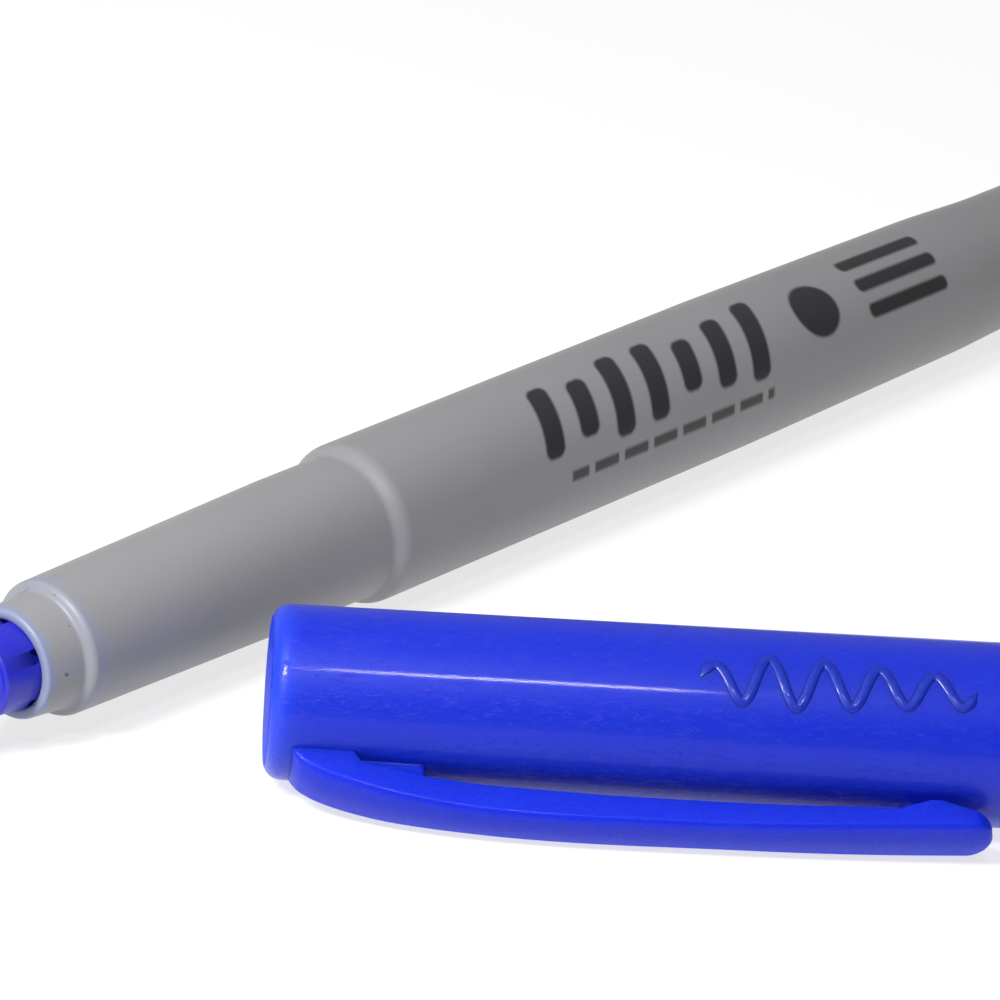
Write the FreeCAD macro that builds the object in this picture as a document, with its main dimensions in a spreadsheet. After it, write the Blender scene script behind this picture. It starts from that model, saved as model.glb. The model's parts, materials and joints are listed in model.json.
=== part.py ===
import FreeCAD, Part
import Sketcher
import math
import os

# A fine-point marker with its push-on clip cap lying beside it, in millimetres.
#
# The barrel lies along +X, nib towards -X, on the plane z = 0. The cap lies on the same
# plane, turned about Z, with its clip pointing forwards and down. The origin is at the
# bottom centre of the whole object's box.
#
# Every turned piece is drawn as half a section, x along its axis and y as the radius,
# and revolved. Barrel pieces measure x from the barrel's mouth, rearwards. The cap
# measures x from its closed end, towards its mouth.

DIMENSIONS = {
    # barrel, outside
    "barrel_length": 112.0,
    "lip_radius": 3.78,
    "lip_round": 0.35,
    "collar_length": 3.3,
    "collar_radius": 4.05,
    "step_radius": 4.66,
    "step_round": 0.55,
    "land_radius": 5.11,
    "land_length": 6.0,
    "shoulder_at": 32.0,
    "shoulder_round": 0.5,
    "body_radius": 5.74,
    "body_straight": 40.0,
    "tail_radius": 5.42,
    "post_radius": 5.12,
    "post_length": 7.0,
    "post_run_in": 7.0,
    # barrel, inside
    "mouth_bore": 3.05,
    "mouth_depth": 7.5,
    "grip_bore": 3.62,
    "grip_bore_step": 0.6,
    "body_bore": 4.3,
    "body_bore_from": 34.0,
    "body_bore_step": 0.7,
    # nib holder
    "plug_radius": 3.03,
    "plug_depth": 7.4,
    "nose_radius": 2.82,
    "nose_length": 2.7,
    "nose_round": 0.25,
    "cone_root_radius": 2.2,
    "cone_length": 3.5,
    "cone_tip_radius": 1.35,
    "nib_bore": 1.02,
    "vent_width": 1.0,
    "vent_depth": 0.45,
    "vent_front": 0.3,
    # nib
    "nib_radius": 1.0,
    "nib_depth": 30.0,
    "nib_bare": 0.8,
    "nib_cone": 1.9,
    "nib_point": 0.5,
    "nib_point_round": 0.4,
    # ink reservoir and its film
    "reservoir_front": 12.0,
    "reservoir_rear": 98.0,
    "reservoir_radius": 3.49,
    "film_inner": 3.51,
    "film_outer": 3.6,
    "nib_socket": 31.0,
    # tail plug
    "spigot_radius": 4.28,
    "spigot_length": 6.0,
    "spigot_bore": 3.4,
    "flange_radius": 4.8,
    "flange_length": 1.4,
    "flange_round": 0.35,
    "stop_radius": 1.6,
    "stop_front": 98.4,
    # cap
    "cap_length": 58.0,
    "cap_end_radius": 5.7,
    "cap_mouth_radius": 6.15,
    "cap_end_round": 1.15,
    "cap_mouth_round": 0.2,
    "cap_bore_radius": 5.2,
    "cap_bore_from": 32.0,
    "cap_wall_inner": 5.0,
    "cap_floor": 1.6,
    "seal_free_end": 29.0,
    "seal_lead": 0.6,
    "seal_zone": 2.4,
    "seal_radius": 4.04,
    "seal_outer": 4.6,
    "chamber_radius": 3.65,
    # clip
    "clip_front": 1.5,
    "clip_foot": 5.3,
    "clip_front_height": 6.05,
    "clip_split": 10.4,
    "clip_split_height": 8.8,
    "clip_split_inner": 6.85,
    "clip_web_end": 6.0,
    "clip_root_width": 4.0,
    "clip_root_half": 1.9,
    "clip_web_width": 2.0,
    "clip_web_drop": 0.65,
    "clip_root_arc": 18.7,
    "clip_gap": 0.12,
    "clip_outer_arc": 209.0,
    "clip_inner_arc": 170.0,
    "clip_tip": 47.2,
    "clip_tip_height": 8.3,
    "clip_tip_inner": 7.5,
    "barb_start": 41.3,
    "barb_start_height": 7.2,
    "barb_apex": 43.4,
    "barb_apex_height": 6.35,
    "barb_end": 47.0,
    "clip_waist_half": 1.6,
    "clip_waist_from": 15.0,
    "clip_waist_to": 30.0,
    "clip_tip_half": 1.9,
    "clip_tip_round": 1.2,
}

# Where the cap's closed end lies, from the barrel's mouth, and how the cap is turned:
# its axis from the barrel's, and its clip below the horizontal. Millimetres and degrees.
CAP_PLACE_X = 10.2
CAP_PLACE_Y = -13.6
CAP_YAW = -45.8
CLIP_BELOW_HORIZONTAL = 29.0
VENT_COUNT = 5
VENT_PHASE = -15.0      # turns the barrel and all it holds about its own axis

doc = FreeCAD.newDocument("Marker")
sheet = doc.addObject("Spreadsheet::Sheet", "Sizes")
for row, (alias, number) in enumerate(DIMENSIONS.items(), start=1):
    sheet.set("A%d" % row, alias)
    sheet.set("B%d" % row, str(number))
    sheet.setAlias("B%d" % row, alias)
doc.recompute()


def value(formula):
    """The value of a sum of sheet aliases, such as 'cap_length - cap_floor'."""
    total, sign = 0.0, 1
    for word in formula.split():
        if word in "+-":
            sign = 1 if word == "+" else -1
        else:
            total += sign * float(sheet.get(word))
    return total


def bound(formula):
    """The same sum as a FreeCAD expression on the sheet."""
    return " ".join(word if word in "+-" else "Sizes." + word for word in formula.split())


def new_body(name):
    body = doc.addObject("PartDesign::Body", name)
    body.Label = name
    return body


def new_sketch(body, name, role):
    """A sketch on one of the body's own origin planes."""
    sketch = body.newObject("Sketcher::SketchObject", name)
    plane = next(p for p in body.Origin.OriginFeatures if p.Role == role)
    sketch.AttachmentSupport = [(plane, "")]
    sketch.MapMode = "FlatFace"
    return sketch


def pin_point(sketch, edge, end, formulas):
    """Binds one end of an edge to its two formulas; '' means zero."""
    for formula, axis, kind in zip(formulas, (-2, -1), ("DistanceX", "DistanceY")):
        if not formula:
            sketch.addConstraint(Sketcher.Constraint("PointOnObject", edge, end, axis))
            continue
        constraint = Sketcher.Constraint(kind, -1, 1, edge, end, value(formula))
        number = sketch.addConstraint(constraint)
        sketch.setExpression("Constraints[%d]" % number, bound(formula))


def outline(sketch, points, arcs=None):
    """A closed outline through points given as pairs of formulas.

    arcs maps an edge's number to (radius alias, side): that edge is an arc that bulges
    to the left (+1) or the right (-1) of its direction.
    """
    arcs = arcs or {}
    count = len(points)
    first = sketch.GeometryCount
    corners = [FreeCAD.Vector(*[value(f) if f else 0 for f in point], 0) for point in points]
    for i, start in enumerate(corners):
        end = corners[(i + 1) % count]
        if i in arcs:
            radius, side = value(arcs[i][0]), arcs[i][1]
            chord = end - start
            left = FreeCAD.Vector(-chord.y, chord.x, 0).normalize()
            sagitta = radius - math.sqrt(radius**2 - (chord.Length / 2) ** 2)
            middle = (start + end) / 2 + left * (side * sagitta)
            sketch.addGeometry(Part.Arc(start, middle, end))
        else:
            sketch.addGeometry(Part.LineSegment(start, end))
    # an arc runs anticlockwise, so one that bulges to the left starts at its far end
    ends = [(2, 1) if i in arcs and arcs[i][1] > 0 else (1, 2) for i in range(count)]
    for i in range(count):
        after = (i + 1) % count
        joint = ("Coincident", first + i, ends[i][1], first + after, ends[after][0])
        sketch.addConstraint(Sketcher.Constraint(*joint))
        pin_point(sketch, first + i, ends[i][0], points[i])
        if i in arcs:
            constraint = Sketcher.Constraint("Radius", first + i, value(arcs[i][0]))
            number = sketch.addConstraint(constraint)
            sketch.setExpression("Constraints[%d]" % number, bound(arcs[i][0]))


def turned(name, points):
    """A body revolved about X from half a section."""
    body = new_body(name)
    sketch = new_sketch(body, name + "_section", "XY_Plane")
    outline(sketch, points)
    revolution = body.newObject("PartDesign::Revolution", name + "_turned")
    revolution.Profile = sketch
    revolution.ReferenceAxis = (sketch, ["H_Axis"])
    doc.recompute()
    return body, revolution


def rim(feature, along, radius):
    """The circular edges of a feature at a place along X and of a given radius."""
    found = []
    for number, edge in enumerate(feature.Shape.Edges, start=1):
        box = edge.BoundBox
        flat = box.XLength < 1e-3 and abs(box.Center.x - value(along)) < 1e-3
        if flat and abs(edge.Curve.Radius - value(radius)) < 1e-3:
            found.append("Edge%d" % number)
    return found


def rounded(body, feature, edges, radius):
    """Fillets edges of a feature with a radius from the sheet."""
    fillet = body.newObject("PartDesign::Fillet", "%s_%s" % (body.Label, radius))
    fillet.Base = (feature, edges)
    fillet.setExpression("Radius", bound(radius))
    body.Tip = fillet
    doc.recompute()
    return fillet


def padded(body, name, points, arcs, width):
    """A plate in the body's XZ plane, padded to both sides by half a width."""
    sketch = new_sketch(body, name + "_side", "XZ_Plane")
    outline(sketch, points, arcs)
    pad = body.newObject("PartDesign::Pad", name)
    pad.Profile = sketch
    pad.SideType = "Symmetric"
    pad.setExpression("Length", bound(width))
    body.Tip = pad
    doc.recompute()
    return pad


def make_barrel():
    """Stepped tube, closed by the nib holder in front and by the plug behind."""
    land_start = "shoulder_at - land_length"
    taper_start = "shoulder_at + body_straight"
    post_start = "barrel_length - post_length"
    taper_end = post_start + " - post_run_in"
    body, last = turned("barrel", [
        ("", "mouth_bore"), ("", "lip_radius"),
        ("collar_length", "collar_radius"), ("collar_length", "step_radius"),
        (land_start, "land_radius"), ("shoulder_at", "land_radius"),
        ("shoulder_at", "body_radius"), (taper_start, "body_radius"),
        (taper_end, "tail_radius"), (post_start, "post_radius"),
        ("barrel_length", "post_radius"), ("barrel_length", "body_bore"),
        ("body_bore_from + body_bore_step", "body_bore"), ("body_bore_from", "grip_bore"),
        ("mouth_depth + grip_bore_step", "grip_bore"), ("mouth_depth", "mouth_bore"),
    ])
    last = rounded(body, last, rim(last, "", "lip_radius"), "lip_round")
    last = rounded(body, last, rim(last, "collar_length", "step_radius"), "step_round")
    rounded(body, last, rim(last, "shoulder_at", "body_radius"), "shoulder_round")
    return body


def make_nib_holder():
    """Plug pressed into the mouth, with a stepped nose and vent channels."""
    body, last = turned("nib_holder", [
        ("- nose_length - cone_length", "nib_bore"),
        ("- nose_length - cone_length", "cone_tip_radius"),
        ("- nose_length", "cone_root_radius"), ("- nose_length", "nose_radius"),
        ("", "plug_radius"), ("plug_depth", "plug_radius"), ("plug_depth", "nib_bore"),
    ])
    last = rounded(body, last, rim(last, "- nose_length", "nose_radius"), "nose_round")
    sketch = new_sketch(body, "vent_side", "XZ_Plane")
    outline(sketch, [
        ("- vent_front", "plug_radius - vent_depth"),
        ("plug_depth + vent_front", "plug_radius - vent_depth"),
        ("plug_depth + vent_front", "plug_radius + vent_depth"),
        ("- vent_front", "plug_radius + vent_depth"),
    ])
    vent = body.newObject("PartDesign::Pocket", "vent")
    vent.Profile = sketch
    vent.SideType = "Symmetric"
    vent.setExpression("Length", bound("vent_width"))
    body.Tip = vent
    doc.recompute()
    vents = body.newObject("PartDesign::PolarPattern", "vents")
    vents.Originals = [vent]
    vents.Axis = (sketch, ["H_Axis"])
    vents.Angle = 360
    vents.Occurrences = VENT_COUNT
    body.Tip = vents
    doc.recompute()
    assert vents.Shape.Volume < vent.Shape.Volume < last.Shape.Volume, "vents cut nothing"
    return body


def make_nib():
    """Fibre rod with a fine rounded point."""
    root = "- nose_length - cone_length - nib_bare"
    tip = root + " - nib_cone"
    body, last = turned("nib", [
        (tip, ""), (tip, "nib_point"), (root, "nib_radius"),
        ("nib_depth", "nib_radius"), ("nib_depth", ""),
    ])
    rounded(body, last, rim(last, tip, "nib_point"), "nib_point_round")
    return body


def make_ink_reservoir():
    """Fibre rod with a socket for the nib's rear end."""
    return turned("ink_reservoir", [
        ("reservoir_front", "nib_bore"), ("reservoir_front", "reservoir_radius"),
        ("reservoir_rear", "reservoir_radius"), ("reservoir_rear", ""),
        ("nib_socket", ""), ("nib_socket", "nib_bore"),
    ])[0]


def make_reservoir_film():
    """Thin film sleeve round the reservoir."""
    return turned("reservoir_film", [
        ("reservoir_front", "film_inner"), ("reservoir_front", "film_outer"),
        ("reservoir_rear", "film_outer"), ("reservoir_rear", "film_inner"),
    ])[0]


def make_tail_plug():
    """Plug for the barrel's rear end, with a stop that keeps the reservoir in place."""
    spigot_front = "barrel_length - spigot_length"
    end = "barrel_length + flange_length"
    body, last = turned("tail_plug", [
        ("stop_front", ""), ("stop_front", "stop_radius"),
        ("barrel_length", "stop_radius"), ("barrel_length", "spigot_bore"),
        (spigot_front, "spigot_bore"), (spigot_front, "spigot_radius"),
        ("barrel_length", "spigot_radius"), ("barrel_length", "flange_radius"),
        (end, "flange_radius"), (end, ""),
    ])
    rounded(body, last, rim(last, end, "flange_radius"), "flange_round")
    return body


def make_cap():
    """Cap with an inner sealing tube and the root of its clip, one moulding."""
    seal_back = "seal_free_end - seal_zone"
    body, last = turned("cap", [
        ("", ""), ("", "cap_end_radius"),
        ("cap_length", "cap_mouth_radius"), ("cap_length", "cap_bore_radius"),
        ("cap_bore_from", "cap_bore_radius"), ("cap_floor", "cap_wall_inner"),
        ("cap_floor", "seal_outer"), ("seal_free_end", "seal_outer"),
        ("seal_free_end", "seal_radius"), (seal_back, "seal_radius"),
        (seal_back + " - seal_lead", "chamber_radius"), ("cap_floor", "chamber_radius"),
        ("cap_floor", ""),
    ])
    last = rounded(body, last, rim(last, "", "cap_end_radius"), "cap_end_round")
    last = rounded(body, last, rim(last, "cap_length", "cap_mouth_radius"), "cap_mouth_round")
    root = padded(body, "clip_root", [
        ("clip_front", "clip_foot"), ("clip_web_end", "clip_foot"),
        ("clip_web_end", "clip_split_inner - clip_web_drop"),
        ("clip_split", "clip_split_inner"), ("clip_split", "clip_split_height"),
        ("clip_front", "clip_front_height"),
    ], {4: ("clip_root_arc", -1)}, "clip_root_width")
    web = padded(body, "clip_web", [
        ("clip_front", "clip_foot"), ("clip_split", "clip_foot"),
        ("clip_split", "clip_split_inner + clip_gap"),
        ("clip_front", "clip_split_inner - clip_web_drop"),
    ], {}, "clip_web_width")
    assert web.Shape.Volume > root.Shape.Volume > last.Shape.Volume, "clip root adds nothing"
    return body


def make_cap_clip():
    """The free arm of the clip, with a waist, a barb and a rounded tip."""
    start = "clip_split + clip_gap"
    body = new_body("cap_clip")
    arm = padded(body, "arm", [
        (start, "clip_split_inner"), ("barb_start", "barb_start_height"),
        ("barb_apex", "barb_apex_height"), ("barb_end", "clip_tip_inner"),
        ("clip_tip", "clip_tip_height"), (start, "clip_split_height"),
    ], {0: ("clip_inner_arc", 1), 4: ("clip_outer_arc", -1)}, "clip_root_width")
    sketch = new_sketch(body, "waist", "XY_Plane")
    half_root, half_waist, half_tip = "clip_root_half", "clip_waist_half", "clip_tip_half"
    for side in ("", "- "):
        outline(sketch, [
            (start, side + half_root), ("clip_waist_from", side + half_waist),
            ("clip_waist_to", side + half_waist), ("clip_tip", side + half_tip),
            ("clip_tip", side + "clip_root_width"), (start, side + "clip_root_width"),
        ])
    waist = body.newObject("PartDesign::Pocket", "waist_cut")
    waist.Profile = sketch
    waist.Type = "ThroughAll"
    waist.SideType = "Symmetric"
    body.Tip = waist
    doc.recompute()
    assert waist.Shape.Volume < arm.Shape.Volume, "the waist cuts nothing"
    corners = []
    for number, edge in enumerate(waist.Shape.Edges, start=1):
        middle = edge.CenterOfMass
        if middle.x > value("barb_end") and edge.BoundBox.YLength < 0.1:
            corners.append("Edge%d" % number)
    rounded(body, waist, corners, "clip_tip_round")
    return body


barrel_pieces = [
    make_barrel(), make_nib_holder(), make_nib(), make_ink_reservoir(),
    make_reservoir_film(), make_tail_plug(),
]
cap_pieces = [make_cap(), make_cap_clip()]

# The barrel lies on its body, the cap on its mouth's rim, with the clip turned about the
# cap's axis until it points forwards and down.
yaw = FreeCAD.Rotation(FreeCAD.Vector(0, 0, 1), CAP_YAW)
clip_turn = FreeCAD.Rotation(FreeCAD.Vector(1, 0, 0), 90 + CLIP_BELOW_HORIZONTAL)
barrel_place = FreeCAD.Vector(0, 0, value("body_radius"))
cap_place = FreeCAD.Vector(CAP_PLACE_X, CAP_PLACE_Y, value("cap_mouth_radius"))
vent_turn = FreeCAD.Rotation(FreeCAD.Vector(1, 0, 0), VENT_PHASE)
for body in barrel_pieces:
    body.Placement = FreeCAD.Placement(barrel_place, vent_turn)
for body in cap_pieces:
    body.Placement = FreeCAD.Placement(cap_place, yaw.multiply(clip_turn))
doc.recompute()

# The origin moves to the bottom centre of the whole object's box.
pieces = barrel_pieces + cap_pieces
whole = Part.makeCompound([body.Shape for body in pieces])
box = whole.optimalBoundingBox(False)
shift = FreeCAD.Vector(box.Center.x, box.Center.y, 0)
for body in pieces:
    body.Placement.Base = body.Placement.Base - shift
doc.recompute()

for item in doc.Objects:
    assert "Invalid" not in item.State and "Error" not in item.State, item.Label
for body in pieces:
    assert not body.Shape.isNull() and body.Shape.isValid(), body.Label
    assert len(body.Shape.Solids) == 1, body.Label

os.makedirs("parts", exist_ok=True)
for body in pieces:
    body.Shape.exportStep("parts/%s.step" % body.Label)
    print("%-16s %8.1f mm3" % (body.Label, body.Shape.Volume))
print("mouth centre", barrel_place - shift)
print("cap end centre", cap_place - shift)
print("box", box.XLength, box.YLength, box.ZLength, "lowest", box.ZMin)
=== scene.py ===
import json
import math

import bmesh
import bpy
from mathutils import Matrix, Vector


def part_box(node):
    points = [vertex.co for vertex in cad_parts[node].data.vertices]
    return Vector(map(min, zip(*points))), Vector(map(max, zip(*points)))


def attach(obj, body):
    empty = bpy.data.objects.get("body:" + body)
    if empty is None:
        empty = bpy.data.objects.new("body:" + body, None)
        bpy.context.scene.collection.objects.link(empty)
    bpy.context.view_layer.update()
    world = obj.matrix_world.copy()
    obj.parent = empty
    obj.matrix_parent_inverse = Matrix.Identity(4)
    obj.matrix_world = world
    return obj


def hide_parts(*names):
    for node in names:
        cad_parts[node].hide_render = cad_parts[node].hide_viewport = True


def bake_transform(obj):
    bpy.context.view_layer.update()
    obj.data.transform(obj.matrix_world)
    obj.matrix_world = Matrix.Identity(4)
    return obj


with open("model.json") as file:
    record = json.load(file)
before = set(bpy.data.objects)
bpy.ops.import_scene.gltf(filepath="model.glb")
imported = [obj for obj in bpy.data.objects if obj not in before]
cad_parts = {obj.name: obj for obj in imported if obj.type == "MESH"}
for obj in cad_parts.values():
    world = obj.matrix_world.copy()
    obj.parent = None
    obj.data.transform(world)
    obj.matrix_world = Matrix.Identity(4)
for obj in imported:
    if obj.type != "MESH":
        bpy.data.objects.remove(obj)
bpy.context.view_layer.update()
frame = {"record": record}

MM = 0.001
SEGMENTS = 160          # facets round a turned piece
ARC_STEP = math.radians(10)

# The camera looks at a point given from the middle of the barrel's mouth, in metres.
CAMERA_AIM = Vector((0.03785, -0.00882, 0.00376))
CAMERA_DISTANCE = 0.400
CAMERA_AZIMUTH = math.radians(-50.91)
CAMERA_ELEVATION = math.radians(26.28)
CAMERA_ROLL = math.radians(-5.90)
CAMERA_LENS = 210.8     # millimetres
CAMERA_SENSOR = 36      # millimetres

# Lights: name, direction from the target, distance and size in metres, power in watts.
KEY_LIGHT = ("key_light", (-0.729, 0.022, 0.685), 0.28, (0.10, 0.045), 1.02)
FRONT_LIGHT = ("front_light", (-0.353, -0.379, 0.853), 0.8, (0.12, 0.05), 1.1)
ROOM_DARK, ROOM_LIGHT = 0.05, 0.42
FLOOR_SIDE = 3.0        # half of the floor's width, metres

# Barrel sizes in millimetres, as the CAD has them. x runs rearwards from the mouth.
BARREL_LENGTH = 112.0
BARREL_RADIUS = 5.74
GRIP_RADIUS = 5.11
POST_RADIUS = 5.12      # of the rear end, where the cap is pushed on
SHOULDER_AT = 32.0
REAR_BORE = 4.3
FRONT_BORE = 3.62
MOUTH_BORE = 3.05
NOSE_LENGTH = 2.7
NOSE_TIP = -6.2
VENT_COUNT = 5
VENT_FIRST = math.radians(75)
VENT_HALF = 0.5 / 3.03
VENT_FLOOR = 2.58
VENT_FRONT = -0.3
NIB_TIP, NIB_REAR = -8.9, 30.0
NIB_RADIUS = 1.0
NIB_HOLE = 1.02
RESERVOIR_FRONT, RESERVOIR_REAR = 12.0, 98.0
PLUG_DEPTH = 6.0        # of the tail plug inside the barrel
PLUG_HEAD = 1.4         # of the tail plug behind the barrel

# Cap and clip sizes in millimetres. x runs from the cap's closed end to its mouth.
CAP_LENGTH = 58.0
CAP_END_RADIUS = 5.7
CAP_END_FLAT = 0.1      # the closed end is matt up to here
CAP_END_WALL = 1.6
CAP_MOUTH_RADIUS = 6.15
CAP_BORE = 5.2
SKIRT_LENGTH = 29.0     # the inner sealing skirt ends here
SKIRT_RADIUS = 4.6
SEAL_RADIUS = 4.04
NIB_CHAMBER = 3.65
CLIP_FRONT = 1.5
CLIP_TIP = 47.2
CLIP_FRONT_ROUND = 0.9
CLIP_TIP_ROUND = 1.5
CLIP_STEPS = 150
CLIP_CORNER = 0.42
CLIP_CROWN = 0.22
WEB_END = 10.25
WEB_HALF = 1.05
WEB_FOOT = 5.3          # the web starts inside the cap's wall

# Raised wave on the cap; its middle is an angle round the cap, counted from the clip.
RELIEF_START, RELIEF_END, RELIEF_PITCH = 27.5, 45.5, 3.6
RELIEF_STEPS = 220
RELIEF_SIDES = 12
RELIEF_SWING = 1.75
RELIEF_HALF_WIDTH, RELIEF_HEIGHT = 0.36, 0.14
RELIEF_MIDDLE = math.radians(83)

# Marks printed on the barrel, in millimetres along it and round it.
PRINT_MIDDLE = math.radians(128)
PRINT_EDGE = 0.2
STROKES_START, STROKE_COUNT, STROKE_PITCH = 47.0, 7.0, 3.8
STROKE_LEAN = 0.3
DASHES_START, DASHES_END, DASHES_PER_MM = 49.5, 72.0, 0.31
DISC_AT, DISC_RADIUS = 79.0, 2.3
STRIPES_AT, STRIPE_HALF, STRIPE_SPACING = 89.0, 4.2, 1.1
PRINT_BLACK = (0.012, 0.012, 0.014, 1)

mounts = {mount["name"]: mount for mount in frame["record"]["mounts"]}


def barrel_place():
    """Matrix that puts the barrel's own frame, origin at the mouth, into the row frame."""
    low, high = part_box("barrel")
    return Matrix.Translation((low[0], (low[1] + high[1]) / 2, (low[2] + high[2]) / 2))


def cap_place():
    """Matrix of the cap's own frame: X along its axis, Z towards the clip."""
    along = Vector(mounts["cap_bore"]["axis"]).normalized()
    out = Vector(mounts["pocket_clip"]["axis"]).normalized()
    across = out.cross(along)
    turn = Matrix((along, across, out)).transposed().to_4x4()
    return Matrix.Translation(Vector(mounts["cap_end_face"]["pos_m"])) @ turn


BARREL_PLACE = barrel_place()
CAP_PLACE = cap_place()
CAMERA_TARGET = BARREL_PLACE.translation + CAMERA_AIM


# ---------------------------------------------------------------- mesh helpers


def rounded(points, closed=False, steps=None):
    """Points of an outline with its corners rounded.

    points holds (x, y) or (x, y, radius). steps fixes the number of points in each arc.
    """
    corners = [(Vector(p[:2]), p[2] if len(p) > 2 else 0.0) for p in points]
    result = []
    for i, (here, radius) in enumerate(corners):
        inner = closed or 0 < i < len(corners) - 1
        if not radius or not inner:
            result.append(here)
            continue
        before = corners[i - 1][0] - here
        after = corners[(i + 1) % len(corners)][0] - here
        opening = before.angle(after)
        reach = min(radius / math.tan(opening / 2),
                    0.49 * before.length, 0.49 * after.length)
        size = reach * math.tan(opening / 2)
        middle = (before.normalized() + after.normalized()).normalized()
        centre = here + middle * math.hypot(reach, size)
        start = here + before.normalized() * reach - centre
        end = here + after.normalized() * reach - centre
        turn = start.angle_signed(end)
        count = steps or max(2, math.ceil(abs(turn) / ARC_STEP))
        for k in range(count + 1):
            angle = -turn * k / count
            cos, sin = math.cos(angle), math.sin(angle)
            result.append(centre + Vector((start.x * cos - start.y * sin,
                                           start.x * sin + start.y * cos)))
    return result


def new_object(name, mesh, place, material):
    """Finishes a mesh made in millimetres and puts it into the scene."""
    mesh.transform(Matrix.Scale(MM, 4))
    work = bmesh.new()
    work.from_mesh(mesh)
    bmesh.ops.recalc_face_normals(work, faces=work.faces)
    work.to_mesh(mesh)
    work.free()
    for polygon in mesh.polygons:
        polygon.use_smooth = True
    mesh.materials.append(material)
    piece = bpy.data.objects.new(name, mesh)
    bpy.context.scene.collection.objects.link(piece)
    piece.matrix_world = place
    return piece


def lathe(name, outline, place, material, angles=None, radius_at=None):
    """A closed turned piece from an outline of (x, radius[, rounding]) in millimetres.

    An outline that meets the axis starts and ends on it. Any other is closed to its start.
    """
    profile = rounded(outline)
    ring = angles or [2 * math.pi * k / SEGMENTS for k in range(SEGMENTS)]
    radius_at = radius_at or (lambda x, radius, angle: radius)
    vertices, faces, rows = [], [], []
    for x, radius in profile:
        if radius < 1e-6:
            rows.append([len(vertices)])
            vertices.append((x, 0, 0))
            continue
        rows.append(range(len(vertices), len(vertices) + len(ring)))
        for angle in ring:
            r = radius_at(x, radius, angle)
            vertices.append((x, r * math.cos(angle), r * math.sin(angle)))
    if len(rows[0]) > 1:
        rows.append(rows[0])
    for one, two in zip(rows, rows[1:]):
        for k in range(len(ring)):
            after = (k + 1) % len(ring)
            corners = [one[k % len(one)], one[after % len(one)],
                       two[after % len(two)], two[k % len(two)]]
            faces.append(list(dict.fromkeys(corners)))
    mesh = bpy.data.meshes.new(name)
    mesh.from_pydata(vertices, [], faces)
    return new_object(name, mesh, place, material)


def skinned(name, sections, place, material):
    """A closed piece through sections with equal numbers of points."""
    count = len(sections[0])
    vertices = [point for section in sections for point in section]
    faces = [list(range(count)), [len(vertices) - count + k for k in range(count)]]
    for row in range(len(sections) - 1):
        for k in range(count):
            after = (k + 1) % count
            faces.append([row * count + k, row * count + after,
                          (row + 1) * count + after, (row + 1) * count + k])
    mesh = bpy.data.meshes.new(name)
    mesh.from_pydata(vertices, [], faces)
    return new_object(name, mesh, place, material)


def between(x, points):
    """Smooth value at x through (x, value) points, flat beyond the ends."""
    if x <= points[0][0]:
        return points[0][1]
    for (x0, y0), (x1, y1) in zip(points, points[1:]):
        if x <= x1:
            t = (x - x0) / (x1 - x0)
            return y0 + (y1 - y0) * t * t * (3 - 2 * t)
    return points[-1][1]


def curve(x, points):
    """Value at x of a smooth curve through (x, value) points."""
    last = len(points) - 1
    i = next((k for k in range(last) if x <= points[k + 1][0]), last - 1)
    slopes = []
    for k in (i, i + 1):
        before, after = points[max(k - 1, 0)], points[min(k + 1, last)]
        slopes.append((after[1] - before[1]) / (after[0] - before[0]))
    (x0, y0), (x1, y1) = points[i], points[i + 1]
    span = x1 - x0
    t = (x - x0) / span
    bend0 = slopes[0] * span - (y1 - y0)
    bend1 = (y1 - y0) - slopes[1] * span
    return y0 + (y1 - y0) * t + t * (1 - t) * (bend0 * (1 - t) + bend1 * t)


def straight(x, points):
    """Linear value at x through (x, value) points, flat beyond the ends."""
    if x <= points[0][0]:
        return points[0][1]
    for (x0, y0), (x1, y1) in zip(points, points[1:]):
        if x <= x1:
            return y0 + (y1 - y0) * (x - x0) / (x1 - x0)
    return points[-1][1]


# ------------------------------------------------------------ material helpers


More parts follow.
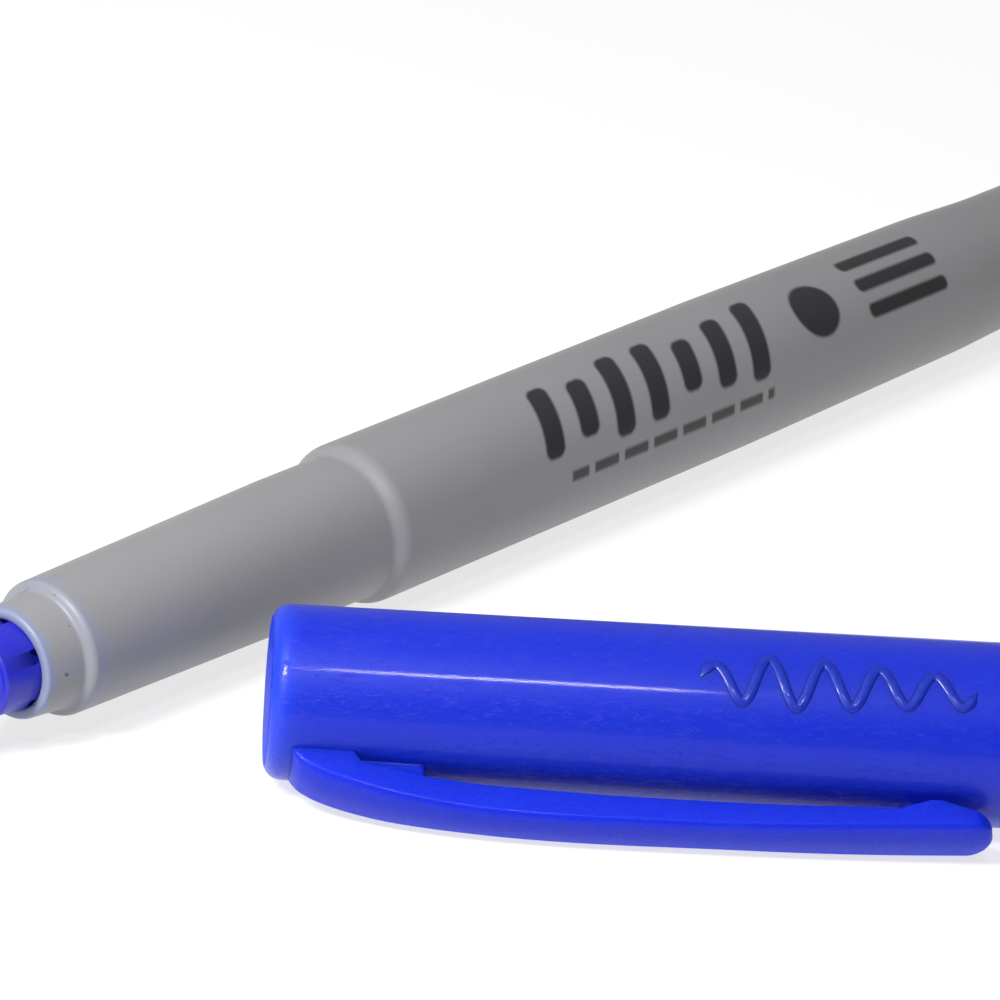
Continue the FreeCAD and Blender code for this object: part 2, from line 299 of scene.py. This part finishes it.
class Nodes:
    """Short ways to build a material's node tree."""

    def __init__(self, name):
        self.material = bpy.data.materials.new(name)
        self.material.use_nodes = True
        self.tree = self.material.node_tree
        self.shader = self.tree.nodes["Principled BSDF"]

    def add(self, kind, **settings):
        node = self.tree.nodes.new(kind)
        for key, setting in settings.items():
            setattr(node, key, setting)
        return node

    def link(self, source, target):
        self.tree.links.new(source, target)

    def feed(self, socket, thing):
        if isinstance(thing, bpy.types.NodeSocket):
            self.link(thing, socket)
        else:
            socket.default_value = thing

    def calc(self, operation, first, second=0.0, third=0.0):
        node = self.add("ShaderNodeMath", operation=operation)
        for socket, thing in zip(node.inputs, (first, second, third)):
            self.feed(socket, thing)
        return node.outputs[0]

    def mix(self, amount, first, second):
        node = self.add("ShaderNodeMix", data_type="RGBA")
        self.feed(node.inputs[0], amount)
        self.feed(node.inputs[6], first)
        self.feed(node.inputs[7], second)
        return node.outputs[2]

    def between(self, value, low, high):
        """0 below low, 1 above high, with a smooth step between them."""
        node = self.add("ShaderNodeMapRange", interpolation_type="SMOOTHSTEP")
        for key, thing in (("Value", value), ("From Min", low), ("From Max", high)):
            self.feed(node.inputs[key], thing)
        return node.outputs["Result"]

    def inside(self, value, low, high, edge):
        """1 between low and high, with soft edges."""
        rise = self.between(value, low - edge, low + edge)
        fall = self.between(value, high - edge, high + edge)
        return self.calc("SUBTRACT", rise, fall)

    def pill(self, across, up, half_across, half_up, radius, edge):
        """1 inside a rounded box round the origin of the two coordinates."""
        past_across = self.past(across, half_across)
        past_up = self.past(up, half_up)
        square = self.calc("MULTIPLY", past_across, past_across)
        gap = self.calc("SQRT", self.calc("MULTIPLY_ADD", past_up, past_up, square))
        return self.calc("SUBTRACT", 1.0, self.between(gap, radius - edge, radius + edge))

    def past(self, value, half):
        """How far a value lies outside -half to half."""
        return self.calc("MAXIMUM", self.calc("SUBTRACT", self.calc("ABSOLUTE", value), half), 0.0)

    def local(self, stretch=(1, 1, 1)):
        """The piece's own coordinates in millimetres, stretched."""
        coordinates = self.add("ShaderNodeTexCoord")
        mapping = self.add("ShaderNodeMapping")
        mapping.inputs["Scale"].default_value = [s / MM for s in stretch]
        self.link(coordinates.outputs["Object"], mapping.inputs["Vector"])
        return mapping.outputs["Vector"]

    def noise(self, scale, detail=3.0, stretch=(1, 1, 1), roughness=0.5):
        node = self.add("ShaderNodeTexNoise")
        self.link(self.local(stretch), node.inputs["Vector"])
        node.inputs["Scale"].default_value = scale
        node.inputs["Detail"].default_value = detail
        node.inputs["Roughness"].default_value = roughness
        return node.outputs["Fac"]

    def bump(self, height, distance, strength):
        """Relief with its depth in millimetres."""
        node = self.add("ShaderNodeBump")
        node.inputs["Strength"].default_value = strength
        node.inputs["Distance"].default_value = distance * MM
        self.link(height, node.inputs["Height"])
        self.link(node.outputs["Normal"], self.shader.inputs["Normal"])

    def set(self, **values):
        """Feeds the shader's sockets, named with _ for a space."""
        for key, thing in values.items():
            self.feed(self.shader.inputs[key.replace("_", " ")], thing)


def grey_plastic():
    """Satin grey moulding, stained with ink at the mouth and printed with plain marks."""
    n = Nodes("grey_plastic")
    split = n.add("ShaderNodeSeparateXYZ")
    n.link(n.local(), split.inputs[0])
    along, y, z = split.outputs
    angle = n.calc("ARCTAN2", z, y)
    around = n.calc("MULTIPLY", n.calc("SUBTRACT", angle, PRINT_MIDDLE), BARREL_RADIUS)

    cloud = n.noise(0.12, 4.0)
    fine = n.noise(2.5, 4.0)
    grey = n.mix(cloud, (0.230, 0.227, 0.234, 1), (0.262, 0.257, 0.262, 1))
    grey = n.mix(n.calc("MULTIPLY", fine, 0.25), grey, (0.205, 0.205, 0.215, 1))

    # a bluish bloom of ink on the lip and the step, and small specks on the collar
    ragged = n.calc("MULTIPLY_ADD", n.noise(1.1, 4.0), 1.6, -0.35)
    lip = n.calc("SUBTRACT", 1.0, n.between(n.calc("SUBTRACT", along, ragged), -0.3, 0.5))
    lip = n.calc("MULTIPLY", lip, n.calc("MULTIPLY_ADD", n.noise(2.2, 4.0), 0.9, 0.15))
    grey = n.mix(lip, grey, (0.19, 0.24, 0.44, 1))
    step = n.inside(along, 3.0, 4.6, 0.5)
    step = n.calc("MULTIPLY", step, n.calc("MULTIPLY", n.noise(1.0, 4.0), 0.45))
    grey = n.mix(step, grey, (0.19, 0.235, 0.37, 1))
    near_mouth = n.calc("SUBTRACT", 1.0, n.between(along, 3.4, 7.0))
    smear = n.calc("MULTIPLY", n.between(n.noise(0.5, 3.0), 0.52, 0.8), near_mouth)
    grey = n.mix(n.calc("MULTIPLY", smear, 0.35), grey, (0.20, 0.25, 0.50, 1))
    specks = n.calc("MULTIPLY", n.between(n.noise(1.35, 1.0), 0.735, 0.775), near_mouth)
    grey = n.mix(n.calc("MULTIPLY", specks, 0.85), grey, (0.03, 0.07, 0.22, 1))

    # plain printed ornament: slanted strokes, a dashed line, a disc and three stripes
    leaning = n.calc("MULTIPLY_ADD", around, STROKE_LEAN, along)
    cell = n.calc("DIVIDE", n.calc("SUBTRACT", leaning, STROKES_START), STROKE_PITCH)
    white = n.add("ShaderNodeTexWhiteNoise", noise_dimensions="1D")
    n.link(n.calc("FLOOR", cell), white.inputs["W"])
    reach = n.calc("MULTIPLY_ADD", white.outputs["Value"], 1.3, 1.3)
    off = n.calc("MULTIPLY", n.calc("SUBTRACT", n.calc("FRACT", cell), 0.5), STROKE_PITCH)
    strokes = n.pill(off, around, 0.28, reach, 0.72, PRINT_EDGE)
    strokes = n.calc("MULTIPLY", strokes, n.inside(cell, 0.0, STROKE_COUNT, 0.01))
    dash = n.calc("FRACT", n.calc("MULTIPLY", along, DASHES_PER_MM))
    dash = n.inside(dash, 0.1, 0.9, 0.04)
    dash = n.calc("MULTIPLY", dash, n.inside(around, 4.1, 4.9, PRINT_EDGE))
    dash = n.calc("MULTIPLY", dash, n.inside(along, DASHES_START, DASHES_END, PRINT_EDGE))
    disc_along = n.calc("SUBTRACT", along, DISC_AT)
    disc = n.pill(disc_along, n.calc("ADD", around, 0.2), 0.0, 0.0, DISC_RADIUS, PRINT_EDGE)
    stripe = n.calc("PINGPONG", n.calc("ADD", around, 0.6), STRIPE_SPACING)
    stripe_along = n.calc("SUBTRACT", along, STRIPES_AT)
    stripe = n.pill(stripe_along, stripe, STRIPE_HALF, 0.1, 0.5, PRINT_EDGE)
    stripe = n.calc("MULTIPLY", stripe, n.inside(around, -3.7, 2.7, 0.1))
    ink = n.calc("MAXIMUM", n.calc("MAXIMUM", strokes, dash), n.calc("MAXIMUM", disc, stripe))
    grey = n.mix(n.calc("MULTIPLY", ink, 0.96), grey, PRINT_BLACK)

    rough = n.calc("MULTIPLY_ADD", n.noise(0.9, 4.0), 0.12, 0.38)
    n.set(Base_Color=grey, Roughness=rough, Specular_IOR_Level=0.45)
    scratches = n.noise(5.0, 5.0, (0.12, 1, 1), 0.7)
    n.bump(scratches, 0.012, 0.35)
    return n.material


def blue_plastic(name, gloss, painted_end_glow):
    """Translucent glossy moulding with a fine haze of scratches, and a painted glow that makes it
    paler at its closed end, standing in for light shining through the plastic there.
    """
    n = Nodes(name)
    split = n.add("ShaderNodeSeparateXYZ")
    n.link(n.local(), split.inputs[0])
    base = n.mix(n.noise(0.15, 3.0), (0.003, 0.019, 0.51, 1), (0.004, 0.022, 0.56, 1))
    # painted glow: the base colour is made paler near the closed end, standing in for light shining
    # through the plastic; the third argument sets how strong it is
    end_glow_mask = n.calc("SUBTRACT", 1.0, n.between(split.outputs[0], 0.3, 2.2))
    base = n.mix(n.calc("MULTIPLY", end_glow_mask, painted_end_glow), base, (0.014, 0.055, 0.55, 1))
    hair = n.noise(7.0, 6.0, (1, 0.2, 1), 0.75)
    rough = n.calc("MULTIPLY_ADD", n.between(hair, 0.4, 0.75), 0.12, 0.36)
    n.set(Base_Color=base, Roughness=rough, Specular_IOR_Level=0.27 * gloss)
    n.set(Coat_Weight=0.28 * gloss, Coat_Roughness=0.09, Coat_IOR=1.4)
    n.set(Subsurface_Weight=0.6, Subsurface_Scale=0.005)
    n.shader.inputs["Subsurface Radius"].default_value = (0.05, 0.08, 1.0)
    cross = n.noise(9.0, 5.0, (0.25, 1, 1), 0.7)
    dust = n.between(n.noise(2.6, 2.0), 0.70, 0.74)
    streak = n.between(n.noise(3.2, 6.0, (0.35, 1, 1), 0.8), 0.52, 0.7)
    relief = n.calc("MULTIPLY_ADD", streak, 1.2, n.calc("ADD", hair, cross))
    n.bump(n.calc("ADD", relief, dust), 0.03, 0.5)
    return n.material


def holder_plastic():
    """Blue moulding soaked with ink."""
    n = Nodes("holder_plastic")
    blot = n.noise(0.8, 4.0)
    base = n.mix(blot, (0.010, 0.012, 0.50, 1), (0.018, 0.02, 0.34, 1))
    n.set(Base_Color=base, Roughness=n.calc("MULTIPLY_ADD", blot, 0.2, 0.3))
    n.bump(n.noise(4.0, 4.0), 0.02, 0.3)
    return n.material


def fibre(name, colour, shade):
    """Bonded fibres running along X, soaked with ink."""
    n = Nodes(name)
    strands = n.noise(9.0, 4.0, (0.08, 1, 1), 0.65)
    n.set(Base_Color=n.mix(strands, (*colour, 1), (*shade, 1)), Roughness=0.75)
    n.bump(strands, 0.05, 0.8)
    return n.material


def film():
    """Thin clear film, slightly milky."""
    n = Nodes("reservoir_film")
    haze = n.noise(0.6, 3.0, (0.3, 1, 1))
    n.set(Base_Color=n.mix(haze, (0.75, 0.79, 0.9, 1), (0.55, 0.6, 0.85, 1)),
          Roughness=n.calc("MULTIPLY_ADD", haze, 0.15, 0.12))
    n.shader.inputs["Alpha"].default_value = 0.55
    n.bump(haze, 0.05, 0.3)
    return n.material


def pale_floor():
    """White board that glows a little, so that the shadows on it stay faint."""
    n = Nodes("pale_floor")
    shade = n.mix(n.noise(0.01, 2.0), (0.30, 0.30, 0.30, 1), (0.32, 0.32, 0.32, 1))
    n.set(Base_Color=shade, Roughness=0.9, Specular_IOR_Level=0.0)
    n.set(Emission_Color=(1.0, 1.0, 1.0, 1), Emission_Strength=0.72)
    return n.material


GREY = grey_plastic()
# the third figure in each call sets the painted glow that makes the piece paler near the cap's
# closed end
CAP_BLUE = blue_plastic("cap_blue", 1.0, 0.7)
CAP_END_BLUE = blue_plastic("cap_end_blue", 0.05, 0.3)
CLIP_BLUE = blue_plastic("clip_blue", 0.55, 0.0)
WEB_BLUE = blue_plastic("clip_web_blue", 0.2, 0.0)
HOLDER = holder_plastic()
NIB = fibre("nib_fibre", (0.006, 0.008, 0.10), (0.02, 0.025, 0.28))
RESERVOIR = fibre("reservoir_fibre", (0.02, 0.03, 0.35), (0.05, 0.07, 0.55))
FILM = film()


# ------------------------------------------------------------------ the pieces


def make_barrel():
    barrel = lathe("barrel_tube", [
        (0.0, 3.25), (0.0, 3.78, 0.35), (3.12, 4.05, 0.35), (3.45, 4.66, 0.65),
        (SHOULDER_AT - 6.0, GRIP_RADIUS, 6.0), (SHOULDER_AT - 0.4, GRIP_RADIUS, 0.9),
        (SHOULDER_AT + 0.5, BARREL_RADIUS, 1.5), (72.0, BARREL_RADIUS, 60.0), (98.0, 5.42, 60.0),
        (105.0, POST_RADIUS, 60.0), (BARREL_LENGTH, POST_RADIUS, 0.3),
        (BARREL_LENGTH, REAR_BORE, 0.1), (34.7, REAR_BORE, 0.3), (34.0, FRONT_BORE, 0.3),
        (8.1, FRONT_BORE, 0.2), (7.5, MOUTH_BORE, 0.1), (0.12, MOUTH_BORE, 0.1),
    ], BARREL_PLACE, GREY)
    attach(barrel, "barrel")
    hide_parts("barrel")


def vent_angles():
    """Angles round the holder, with close pairs at the sides of each vent."""
    sharp = 0.004
    wide_steps = 22
    angles = []
    for k in range(VENT_COUNT):
        middle = VENT_FIRST + 2 * math.pi * k / VENT_COUNT
        inner, outer = VENT_HALF, 2 * math.pi / VENT_COUNT - VENT_HALF
        angles += [middle + inner * t for t in (-1, -0.5, 0, 0.5, 1)]
        first, last = inner + sharp, outer - sharp
        angles += [middle + first + (last - first) * j / wide_steps
                   for j in range(wide_steps + 1)]
    return angles


def vent_radius(x, radius, angle):
    """Radius of the holder, lower where a vent runs."""
    step = 2 * math.pi / VENT_COUNT
    off = (angle - VENT_FIRST + step / 2) % step - step / 2
    deep = abs(off) < VENT_HALF + 0.002 and x > VENT_FRONT and radius > VENT_FLOOR
    return VENT_FLOOR if deep else radius


def make_nib_holder():
    holder = lathe("nib_holder_plug", [
        (NOSE_TIP, NIB_HOLE, 0.05), (NOSE_TIP, 1.35, 0.15), (-NOSE_LENGTH, 2.2, 0.2),
        (-NOSE_LENGTH, 2.82, 0.25), (-0.31, 3.0), (-0.29, 3.0), (0.0, 3.03), (7.4, 3.03, 0.1),
        (7.4, NIB_HOLE, 0.1),
    ], BARREL_PLACE, HOLDER, vent_angles(), vent_radius)
    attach(holder, "barrel")
    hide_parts("nib_holder")


def make_nib():
    nib = lathe("nib_rod", [
        (NIB_TIP, 0.0), (NIB_TIP, 0.5, 0.45), (-7.0, NIB_RADIUS, 0.5),
        (NIB_REAR, NIB_RADIUS, 0.1), (NIB_REAR, 0.0),
    ], BARREL_PLACE, NIB)
    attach(nib, "barrel")
    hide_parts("nib")


def make_reservoir():
    rod = lathe("reservoir_rod", [
        (NIB_REAR + 1.0, 0.0), (NIB_REAR + 1.0, NIB_HOLE), (RESERVOIR_FRONT, NIB_HOLE),
        (RESERVOIR_FRONT, 3.49, 0.15), (RESERVOIR_REAR, 3.49, 0.15), (RESERVOIR_REAR, 0.0),
    ], BARREL_PLACE, RESERVOIR)
    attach(rod, "barrel")
    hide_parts("ink_reservoir")
    sleeve = lathe("reservoir_sleeve", [
        (RESERVOIR_FRONT, 3.51), (RESERVOIR_FRONT, 3.6, 0.03),
        (RESERVOIR_REAR, 3.6, 0.03), (RESERVOIR_REAR, 3.51, 0.03),
    ], BARREL_PLACE, FILM)
    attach(sleeve, "barrel")
    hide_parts("reservoir_film")


def make_tail_plug():
    start = RESERVOIR_REAR + 0.4
    end = BARREL_LENGTH + PLUG_HEAD
    plug = lathe("tail_plug_disc", [
        (start, 0.0), (start, 1.6, 0.2), (BARREL_LENGTH, 1.6, 0.3), (BARREL_LENGTH, 3.4, 0.3),
        (BARREL_LENGTH - PLUG_DEPTH, 3.4, 0.1), (BARREL_LENGTH - PLUG_DEPTH, 4.28, 0.2),
        (BARREL_LENGTH, 4.28, 0.05), (BARREL_LENGTH, 4.8, 0.1), (end, 4.8, 0.35),
        (end, 3.3, 0.15), (end - 0.35, 3.1, 0.15), (end - 0.35, 0.0),
    ], BARREL_PLACE, GREY)
    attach(plug, "barrel")
    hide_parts("tail_plug")


def cap_radius(x):
    """Outer radius of the cap, which widens towards its mouth."""
    return CAP_END_RADIUS + (CAP_MOUTH_RADIUS - CAP_END_RADIUS) * x / CAP_LENGTH


def make_cap():
    shell = lathe("cap_shell", [
        (0.0, 0.0), (0.0, CAP_END_RADIUS, 1.15), (CAP_LENGTH, CAP_MOUTH_RADIUS, 0.2),
        (CAP_LENGTH, CAP_BORE, 0.2), (32.0, CAP_BORE, 4.0), (CAP_END_WALL, 5.0, 0.2),
        (CAP_END_WALL, SKIRT_RADIUS, 0.15), (SKIRT_LENGTH, SKIRT_RADIUS, 0.2),
        (SKIRT_LENGTH, SEAL_RADIUS, 0.2), (26.6, SEAL_RADIUS, 0.3), (26.0, NIB_CHAMBER, 0.3),
        (CAP_END_WALL, NIB_CHAMBER, 0.4), (CAP_END_WALL, 0.0),
    ], CAP_PLACE, CAP_BLUE)
    shell.data.materials.append(CAP_END_BLUE)
    for polygon in shell.data.polygons:
        polygon.material_index = int(polygon.center.x < CAP_END_FLAT * MM)
    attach(shell, "cap")
    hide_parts("cap")


def clip_outer(x):
    """Height of the clip's outer face over the cap's axis."""
    return curve(x, [(CLIP_FRONT, 6.15), (3.3, 7.25), (6.0, 8.15), (9.1, 8.8), (14.0, 9.33),
                     (20.0, 9.52), (27.4, 9.42), (35.0, 9.2), (45.4, 8.6), (CLIP_TIP, 8.45)])


def clip_inner(x):
    """Height of the clip's inner face over the cap's axis."""
    return straight(x, [(5.6, 5.35), (6.1, 6.15), (7.0, 6.30), (10.4, 6.85), (14.0, 7.12),
                        (22.0, 7.35), (34.0, 7.33), (41.0, 7.15), (43.0, 6.42), (43.6, 6.38),
                        (46.9, 7.35)])


def clip_half(x):
    """Half of the clip's width."""
    return between(x, [(4.0, 2.0), (14.5, 1.62), (28.0, 1.62), (43.0, 1.92), (46.0, 1.92)])


def clip_section(x):
    """Rounded cross-section of the clip, its outer face slightly crowned."""
    half, low, high = clip_half(x), clip_inner(x), clip_outer(x)
    front = max(0.0, 1 - (x - CLIP_FRONT) / CLIP_FRONT_ROUND)
    tip = max(0.0, 1 - (CLIP_TIP - x) / CLIP_TIP_ROUND)
    half -= 0.3 * CLIP_FRONT_ROUND * (1 - math.sqrt(1 - front**2))
    high -= CLIP_FRONT_ROUND * (1 - math.sqrt(1 - front**2))
    half *= max(0.12, math.sqrt(max(0.0, 1 - tip**2)))
    thick = high - low
    squeeze = 0.35 * thick * (1 - math.sqrt(max(0.0, 1 - tip**4)))
    high -= squeeze
    low += squeeze * 0.4
    crown = CLIP_CROWN * min(1.0, half / 1.6)
    corner = min(CLIP_CORNER, half * 0.6)
    points = [(-half, low, 0.15), (half, low, 0.15), (half, high - crown, corner),
              (0.0, high, 6.0), (-half, high - crown, corner)]
    return [(x, p.x, p.y) for p in rounded(points, True, 5)]


def clip_stations():
    """Places along the clip, close together at its rounded ends."""
    places = []
    for k in range(CLIP_STEPS + 1):
        t = k / CLIP_STEPS
        places.append(CLIP_FRONT + (CLIP_TIP - CLIP_FRONT) * (0.5 - 0.5 * math.cos(math.pi * t)))
    return places


def make_clip():
    sections = [clip_section(x) for x in clip_stations()]
    clip = skinned("cap_clip_arm", sections, CAP_PLACE, CLIP_BLUE)
    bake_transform(clip)
    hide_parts("cap_clip")


def make_clip_web():
    """The narrow web that carries the clip's root on the cap."""
    sections = []
    end_round = 0.18
    for x in (5.2, 5.3, 5.5, 7.0, 8.5, 9.8, 10.05, 10.2, WEB_END):
        past = max(0.0, (x - (WEB_END - end_round)) / end_round)
        half = WEB_HALF - end_round * (1 - math.sqrt(max(0.0, 1 - past**2)))
        foot = half + 0.25
        top = clip_inner(x) + 0.25
        points = [(-foot, WEB_FOOT, 0.1), (foot, WEB_FOOT, 0.1), (half, 5.95, 0.25),
                  (half, top, 0.1), (-half, top, 0.1), (-half, 5.95, 0.25)]
        sections.append([(x, p.x, p.y) for p in rounded(points, True, 4)])
    web = skinned("cap_clip_web", sections, CAP_PLACE, WEB_BLUE)
    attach(web, "cap")


def make_relief():
    """A plain raised wave moulded on the cap, beside the clip, lower towards its ends."""
    swings = [(RELIEF_START, 0.5), (RELIEF_START + 4, 1.0), (RELIEF_END, 0.6)]
    path = []
    for k in range(RELIEF_STEPS + 1):
        x = RELIEF_START + (RELIEF_END - RELIEF_START) * k / RELIEF_STEPS
        swing = RELIEF_SWING * between(x, swings)
        path.append(Vector((x, swing * math.sin(2 * math.pi * (x - RELIEF_START) / RELIEF_PITCH))))
    sections = []
    for k, here in enumerate(path):
        ahead = (path[min(k + 1, RELIEF_STEPS)] - path[max(k - 1, 0)]).normalized()
        side = Vector((-ahead.y, ahead.x))
        fade = min(1.0, 0.15 + min(k, RELIEF_STEPS - k) / 5)
        section = []
        for j in range(RELIEF_SIDES):
            turn = 2 * math.pi * j / RELIEF_SIDES
            spot = here + side * RELIEF_HALF_WIDTH * fade * math.cos(turn)
            radius = cap_radius(spot.x) + RELIEF_HEIGHT * fade * math.sin(turn)
            angle = RELIEF_MIDDLE + spot.y / cap_radius(spot.x)
            section.append((spot.x, radius * math.sin(angle), radius * math.cos(angle)))
        sections.append(section)
    relief = skinned("cap_relief", sections, CAP_PLACE, CAP_BLUE)
    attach(relief, "cap")


# ------------------------------------------------------- stage, light and camera


def make_floor():
    mesh = bpy.data.meshes.new("floor")
    corners = [(x * FLOOR_SIDE, y * FLOOR_SIDE, 0) for x, y in ((-1, -1), (1, -1), (1, 1), (-1, 1))]
    mesh.from_pydata(corners, [], [(0, 1, 2, 3)])
    mesh.materials.append(pale_floor())
    floor = bpy.data.objects.new("floor", mesh)
    bpy.context.scene.collection.objects.link(floor)


def make_light(name, direction, distance, size, power):
    """A soft light that faces the marker, its long side parallel to the cap."""
    light = bpy.data.lights.new(name, "AREA")
    light.shape = "RECTANGLE"
    light.size, light.size_y = size
    light.energy = power
    lamp = bpy.data.objects.new(name, light)
    bpy.context.scene.collection.objects.link(lamp)
    back = Vector(direction).normalized()
    side = Vector(mounts["cap_bore"]["axis"])
    side = (side - back * side.dot(back)).normalized()
    turn = Matrix((side, back.cross(side), back)).transposed().to_4x4()
    lamp.matrix_world = Matrix.Translation(CAMERA_TARGET + back * distance) @ turn


def make_world():
    """A dim room, lighter overhead and behind the marker than on the camera's side."""
    world = bpy.data.worlds.new("studio")
    world.use_nodes = True
    tree = world.node_tree
    background = tree.nodes["Background"]
    coordinates = tree.nodes.new("ShaderNodeTexCoord")
    facing = tree.nodes.new("ShaderNodeVectorMath")
    facing.operation = "DOT_PRODUCT"
    facing.inputs[1].default_value = Vector((0.25, 0.45, 0.85)).normalized()
    ramp = tree.nodes.new("ShaderNodeMapRange")
    ramp.interpolation_type = "SMOOTHSTEP"
    ramp.inputs["From Min"].default_value = -0.2
    ramp.inputs["To Min"].default_value = ROOM_DARK
    ramp.inputs["To Max"].default_value = ROOM_LIGHT
    tree.links.new(coordinates.outputs["Generated"], facing.inputs[0])
    tree.links.new(facing.outputs["Value"], ramp.inputs["Value"])
    tree.links.new(ramp.outputs["Result"], background.inputs["Strength"])
    background.inputs["Color"].default_value = (0.97, 0.98, 1.0, 1)
    bpy.context.scene.world = world


def make_camera():
    data = bpy.data.cameras.new("camera")
    data.lens = CAMERA_LENS
    data.sensor_width = CAMERA_SENSOR
    data.clip_start, data.clip_end = 0.01, 20
    camera = bpy.data.objects.new("camera", data)
    bpy.context.scene.collection.objects.link(camera)
    forward = Vector((-math.sin(CAMERA_AZIMUTH) * math.cos(CAMERA_ELEVATION),
                      math.cos(CAMERA_AZIMUTH) * math.cos(CAMERA_ELEVATION),
                      -math.sin(CAMERA_ELEVATION)))
    level = forward.to_track_quat("-Z", "Y").to_matrix()
    turn = level @ Matrix.Rotation(-CAMERA_ROLL, 3, "Z")
    place = Matrix.Translation(CAMERA_TARGET - forward * CAMERA_DISTANCE)
    camera.matrix_world = place @ turn.to_4x4()
    bpy.context.scene.camera = camera


make_barrel()
make_nib_holder()
make_nib()
make_reservoir()
make_tail_plug()
make_cap()
make_clip()
make_clip_web()
make_relief()
make_floor()
make_world()
make_light(*KEY_LIGHT)
make_light(*FRONT_LIGHT)
make_camera()
bpy.context.scene.view_settings.view_transform = "Standard"
